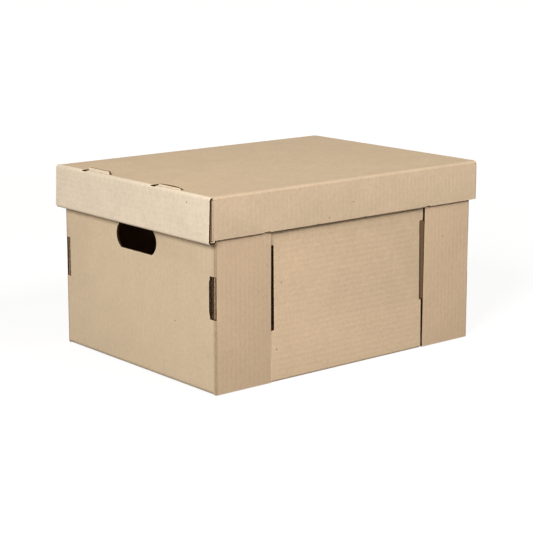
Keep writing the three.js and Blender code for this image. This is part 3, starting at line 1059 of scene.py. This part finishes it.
def rim_folds():
    outer = -SIDE_FACE + SIDE_LEAN
    inner = -SIDE_FACE + LINING_OFFSET + BOARD
    points = [
        (outer, RIM_JOINT),
        (outer, WALL_HEIGHT, FOLD_OUTSIDE),
        (inner, WALL_HEIGHT, FOLD_OUTSIDE),
        (inner, RIM_JOINT),
    ]
    run = Run(points, first=0)
    first, last = run.ends
    left, right = side_panel[0].x, side_panel[1].x
    outline = rectangle(left, first - OVERRUN, right, last + OVERRUN)
    add_board(
        "front_rim_fold", "side", run, "x", outline,
        twin="back_rim_fold", kept=[(FREE, (first, last))],
    )


def front_lining():
    """The inner ply: flat behind the long side and bowed out past the wings, to its two ears."""
    end = END_FACE - BOARD - PLY_GAP
    left_ear, right_ear = -END_FACE + NEAR_EAR_SETBACK, END_FACE - FAR_EAR_SETBACK
    face = []
    for side, seam in ((1, RIGHT_SEAM), (-1, -LEFT_SEAM)):
        half = []
        for step in range(BOW_STEPS + 1):
            share = step / BOW_STEPS
            offset = LINING_OFFSET + (EAR_OFFSET - LINING_OFFSET) * share**2
            half.append((side * (seam + (end - seam) * share), -SIDE_FACE + offset))
        face += half[::-1] if side > 0 else half
    ear_face = -SIDE_FACE + EAR_OFFSET
    run = Run([(right_ear, ear_face), *face, (left_ear, ear_face)], last=left_ear, grows=-1)
    low, high = run.ends
    foot = lining[0].z
    ear_foot, ear_top = EAR_SLOT_FOOT + EAR_SIDE_PLAY, EAR_SLOT_TOP - EAR_SIDE_PLAY
    left_end, right_end = low + (-end - left_ear), high - (right_ear - end)
    outline = [
        (foot, left_end),
        (ear_foot, left_end),
        (ear_foot, low),
        (ear_top, low),
        (ear_top, left_end),
        (RIM_JOINT + OVERRUN, left_end),
        (RIM_JOINT + OVERRUN, right_end),
        (ear_top, right_end),
        (ear_top, high),
        (ear_foot, high),
        (ear_foot, right_end),
        (foot, right_end),
    ]
    add_board(
        "front_lining", "inside", run, "z", outline,
        twin="back_lining", flutes="run", kept=[((None, RIM_JOINT), FREE)],
    )


# Lid: the top and the long skirts


def lid_slot(middle):
    """A slot's outline, with a pocket at its back end that reaches into the end's fold."""
    half = LID_SLOT_LENGTH / 2
    points = [
        (middle + half, LID_TOP_LEFT - HOLE_OVERRUN),
        (middle + half - LID_POCKET_LENGTH, LID_TOP_LEFT - HOLE_OVERRUN),
        (middle + half - LID_POCKET_LENGTH, -LID_FLAP_INNER),
        (middle - half, -LID_FLAP_INNER, LID_SLOT_RADIUS),
    ]
    mean = (LID_SLOT_FRONT_DEPTH + LID_SLOT_BACK_DEPTH) / 2
    for step in range(LID_SLOT_STEPS + 1):
        share = 2 * step / LID_SLOT_STEPS - 1
        depth = mean + share * (LID_SLOT_BACK_DEPTH - mean) + LID_SLOT_BULGE * (1 - share**2)
        points.append((middle + half * share, -LID_FLAP_INNER + depth))
    return closed_outline(points)


def lid_top_panel():
    first, last, width = LID_TOP_LEFT - OVERRUN, LID_TOP_RIGHT + OVERRUN, LID_TOP_HALF_WIDTH
    run = Run([(first, LID_HEIGHT), (last, LID_HEIGHT)], first=first)
    outline = rectangle(-width - OVERRUN, first, width + OVERRUN, last)
    holes = [lid_slot(side * LID_SLOT_SPACING / 2 + LID_SLOT_SHIFT) for side in (-1, 1)]
    kept = [((-width, width), (LID_TOP_LEFT, LID_TOP_RIGHT))]
    add_board("lid_top", "lid_top", run, "y", outline, holes=holes, kept=kept)


def nicked_foot():
    """The nicks that the die's bridges and handling leave in a long skirt's foot."""
    points = []
    for first, last, depth in SKIRT_NICKS:
        points += [
            (first, SIDE_SKIRT_FOOT),
            (first + NICK_RAMP, SIDE_SKIRT_FOOT + depth),
            (last - NICK_RAMP, SIDE_SKIRT_FOOT + depth),
            (last, SIDE_SKIRT_FOOT),
        ]
    return points


def lid_side_skirts():
    points = [
        (-LID_SIDE_FACE, SIDE_SKIRT_FOOT),
        (-LID_SIDE_FACE, LID_HEIGHT, FOLD_OUTSIDE),
        (-LID_SIDE_FACE + JOINT_REACH, LID_HEIGHT),
    ]
    run = Run(points, first=SIDE_SKIRT_FOOT)
    top = run.ends[1]
    shoulder = LID_HEIGHT - FOLD_OUTSIDE
    left = -LID_FLAP_FACE + JOINT_REACH
    right = PLAIN_FLAP_FACE - JOINT_REACH
    outline = [
        (left - OVERRUN, SIDE_SKIRT_FOOT),
        *nicked_foot(),
        (right + OVERRUN, SIDE_SKIRT_FOOT),
        (right + OVERRUN, shoulder),
        (LID_TOP_RIGHT, shoulder),
        (LID_TOP_RIGHT, top + OVERRUN),
        (LID_TOP_LEFT, top + OVERRUN),
        (LID_TOP_LEFT, shoulder),
        (left - OVERRUN, shoulder),
    ]
    add_board(
        "lid_front_skirt", "lid_side", run, "x", outline,
        twin="lid_back_skirt", flutes="run",
        kept=[((left, right), (None, shoulder)), (FREE, (shoulder, top))],
    )


def lid_flap(node, twin, side, face):
    tip = left_flap[1].y
    joint = side * (face - JOINT_REACH)
    points = [
        (joint, -LID_SIDE_FACE),
        (side * face, -LID_SIDE_FACE, SCORED_RADIUS),
        (side * face, tip),
    ]
    if side > 0:
        run = Run(points[::-1], first=tip, grows=-1, scored=True)
    else:
        run = Run(points, last=tip, scored=True)
    low = run.ends[0]
    top = LID_HEIGHT - FOLD_OUTSIDE - CREASE_GAP
    outline = closed_outline([
        (SIDE_SKIRT_FOOT, low - OVERRUN),
        (SIDE_SKIRT_FOOT, tip - FLAP_SLOPE, TAB_RADIUS),
        (top, tip, TAB_RADIUS),
        (top, low - OVERRUN),
    ])
    kept = [(FREE, (low, None))]
    add_board(node, "lid_flap", run, "z", outline, twin=twin, kept=kept)


# Lid: the left end, folded double, and the plain right end


def lid_left_skirt():
    foot = SIDE_SKIRT_FOOT
    points = [
        (-LID_END_FACE - splay_at(foot), foot),
        (-LID_END_FACE, LID_HEIGHT, FOLD_OUTSIDE),
        (-LID_END_FACE + JOINT_REACH, LID_HEIGHT),
    ]
    run = Run(points, first=0)
    first, last = run.ends
    ridge = sum(run.arcs[0]) / 2
    outline = [
        (-LID_SIDE_FACE, first - OVERRUN),
        (LID_SIDE_FACE, first - OVERRUN),
        (LID_SIDE_FACE, last + OVERRUN),
    ]
    for side in (1, -1):
        end = side * LID_SLOT_SPACING / 2 + LID_SLOT_SHIFT + LID_SLOT_LENGTH / 2
        outline += [
            (end, last + OVERRUN),
            (end, ridge),
            (end - LID_POCKET_LENGTH, ridge),
            (end - LID_POCKET_LENGTH, last + OVERRUN),
        ]
    outline.append((-LID_SIDE_FACE, last + OVERRUN))
    kept = [(FREE, (first, last))]
    add_board("lid_left_skirt", "lid_end", run, "y", outline, kept=kept)


def lid_left_hem():
    joint = SIDE_SKIRT_FOOT
    points = [
        (-LID_LINING_FACE, joint),
        (-LID_LINING_FACE, HEM_HEIGHT, FOLD_OUTSIDE),
        (-LID_END_FACE - END_SPLAY, HEM_HEIGHT, FOLD_OUTSIDE),
        (-LID_END_FACE - splay_at(joint), joint),
    ]
    run = Run(points, first=0)
    first, last = run.ends
    outline = rectangle(-LID_SIDE_FACE, first - OVERRUN, LID_SIDE_FACE, last + OVERRUN)
    kept = [(FREE, (first, last))]
    add_board("lid_left_hem", "lid_end", run, "y", outline, kept=kept)


def lid_left_lining():
    foot = SIDE_SKIRT_FOOT
    tab_top = end_lining[1].z
    shoulder = LID_UNDERSIDE - PLY_GAP
    half = end_lining[1].y
    x = -LID_LINING_FACE - BOARD
    run = Run([(x, foot), (x, tab_top)], last=tab_top)
    points = [(-half, foot - OVERRUN), (half, foot - OVERRUN), (half, shoulder)]
    for side, proud in ((1, BACK_TAB_PROUD), (-1, FRONT_TAB_PROUD)):
        middle = side * LID_SLOT_SPACING / 2 + LID_SLOT_SHIFT - LID_TAB_SHIFT
        points += [
            (middle + LID_TAB_LENGTH / 2, shoulder),
            (middle + LID_TAB_LENGTH / 2, LID_HEIGHT + proud, LID_TAB_RADIUS),
            (middle - LID_TAB_LENGTH / 2, LID_HEIGHT + proud, LID_TAB_RADIUS),
            (middle - LID_TAB_LENGTH / 2, shoulder),
        ]
    points.append((-half, shoulder))
    outline, kept = closed_outline(points), [(FREE, (foot, None))]
    # The tabs that stand in the slots take the ends' paler tone, with its painted sheen.
    add_board("lid_left_lining", "lid_end", run, "y", outline, kept=kept)


def lid_right_skirt():
    foot, half = plain_skirt[0].z, plain_skirt[1].y
    points = [
        (PLAIN_END_FACE - JOINT_REACH, LID_HEIGHT),
        (PLAIN_END_FACE, LID_HEIGHT, FOLD_OUTSIDE),
        (PLAIN_END_FACE, foot),
    ]
    run = Run(points, last=foot, grows=-1)
    top = run.ends[1]
    outline = rectangle(-half, foot, half, top + OVERRUN)
    kept = [(FREE, (None, top))]
    add_board("lid_right_skirt", "lid_end", run, "y", outline, kept=kept)


# All pieces

bottom_panel()
end_walls()
wings()
locking_tab("front_left_tab", "back_right_tab", LEFT_SEAM, NOTCH_LEFT, 1, LEFT_TAB_ROOT_DEPTH)
locking_tab(
    "front_right_tab", "back_left_tab", RIGHT_TAB_ROOT, NOTCH_RIGHT, -1, RIGHT_TAB_ROOT_DEPTH
)
front_panel()
rim_folds()
front_lining()
lid_top_panel()
lid_side_skirts()
lid_flap("lid_front_left_flap", "lid_back_left_flap", -1, LID_FLAP_FACE)
lid_flap("lid_front_right_flap", "lid_back_right_flap", 1, PLAIN_FLAP_FACE)
lid_left_skirt()
lid_left_hem()
lid_left_lining()
lid_right_skirt()


# Floor, light and camera. Lengths are metres, but for the lens and the sensor.

FLOOR_RADIUS = 25.0
FLOOR_SEGMENTS = 96
FLOOR_DROP = 0.0005
FLOOR_COLOR = (0.25, 0.25, 0.25, 1)
FLOOR_GLOW = 0.82  # what seen rays get beside the light that falls on the floor
FAR_GLOW = 0.15
FAR_LIMITS = (0.8, 3.5)
WHITE = (1, 1, 1, 1)
WORLD_STRENGTH = 0.12  # for diffuse light: seen rays get full white
WORLD_TINT = (1.0, 0.88, 0.72, 1)
LAMP_TARGET = (0, 0, 0.12)
LAMPS = {  # location, size and power
    "key": ((-2.8, -1.35, 1.75), (1.3, 1.3), 112),
    "front": ((0.9, -2.9, 2.4), (1.3, 1.1), 80),
    "back": ((1.8, 2.2, 1.6), (1.4, 1.2), 16),
}
LENS = 107.07
SENSOR_WIDTH = 36
CAMERA_SHIFT = -0.1
CAMERA_LOCATION = (-1.2322, -1.4839, 0.5199)
CAMERA_TILT = 10.547  # degrees down
CAMERA_TURN = 39.625  # degrees to the right of +Y


def floor():
    material = bpy.data.materials.new("floor")
    nodes = Nodes(material)
    shader = nodes.shader.inputs
    shader["Base Color"].default_value = FLOOR_COLOR
    shader["Roughness"].default_value = 1.0
    shader["Specular IOR Level"].default_value = 0.0
    shader["Emission Color"].default_value = WHITE
    away = nodes.node("VectorMath", operation="LENGTH")
    nodes.link(nodes.node("TexCoord").outputs["Object"], away.inputs[0])
    far = nodes.ramp(away.outputs["Value"], *FAR_LIMITS)
    glow = nodes.math("ADD", nodes.math("MULTIPLY", far, FAR_GLOW), FLOOR_GLOW)
    seen_glow = nodes.math("MULTIPLY", nodes.seen_rays(), glow)
    nodes.link(seen_glow, shader["Emission Strength"])
    bm = bmesh.new()
    bmesh.ops.create_circle(bm, cap_ends=True, segments=FLOOR_SEGMENTS, radius=FLOOR_RADIUS)
    mesh = bpy.data.meshes.new("floor")
    bm.to_mesh(mesh)
    bm.free()
    mesh.materials.append(material)
    piece = bpy.data.objects.new("floor", mesh)
    piece.location.z = -FLOOR_DROP
    bpy.context.scene.collection.objects.link(piece)


def world():
    made = bpy.data.worlds.new("studio")
    bpy.context.scene.world = made
    nodes = Nodes(made, "Background")
    seen = nodes.seen_rays()
    limits = {"Value": seen, "To Min": WORLD_STRENGTH, "To Max": 1.0}
    strength = nodes.node("MapRange", limits).outputs[0]
    nodes.link(strength, nodes.shader.inputs["Strength"])
    nodes.link(nodes.mix(seen, WORLD_TINT, WHITE), nodes.shader.inputs["Color"])


def area_lamp(name, location, size, power):
    data = bpy.data.lights.new(name, "AREA")
    data.shape = "RECTANGLE"
    data.size, data.size_y = size
    data.energy = power
    lamp = bpy.data.objects.new(name, data)
    lamp.location = location
    aim = Vector(LAMP_TARGET) - Vector(location)
    lamp.rotation_euler = aim.to_track_quat("-Z", "Y").to_euler()
    bpy.context.scene.collection.objects.link(lamp)


def camera():
    data = bpy.data.cameras.new("camera")
    data.lens = LENS
    data.sensor_width = SENSOR_WIDTH
    data.shift_y = CAMERA_SHIFT
    made = bpy.data.objects.new("camera", data)
    made.location = CAMERA_LOCATION
    made.rotation_euler = (math.radians(90 - CAMERA_TILT), 0, math.radians(-CAMERA_TURN))
    bpy.context.scene.collection.objects.link(made)
    bpy.context.scene.camera = made


floor()
world()
for lamp_name, settings in LAMPS.items():
    area_lamp(lamp_name, *settings)
camera()
bpy.context.scene.view_settings.view_transform = "Standard"
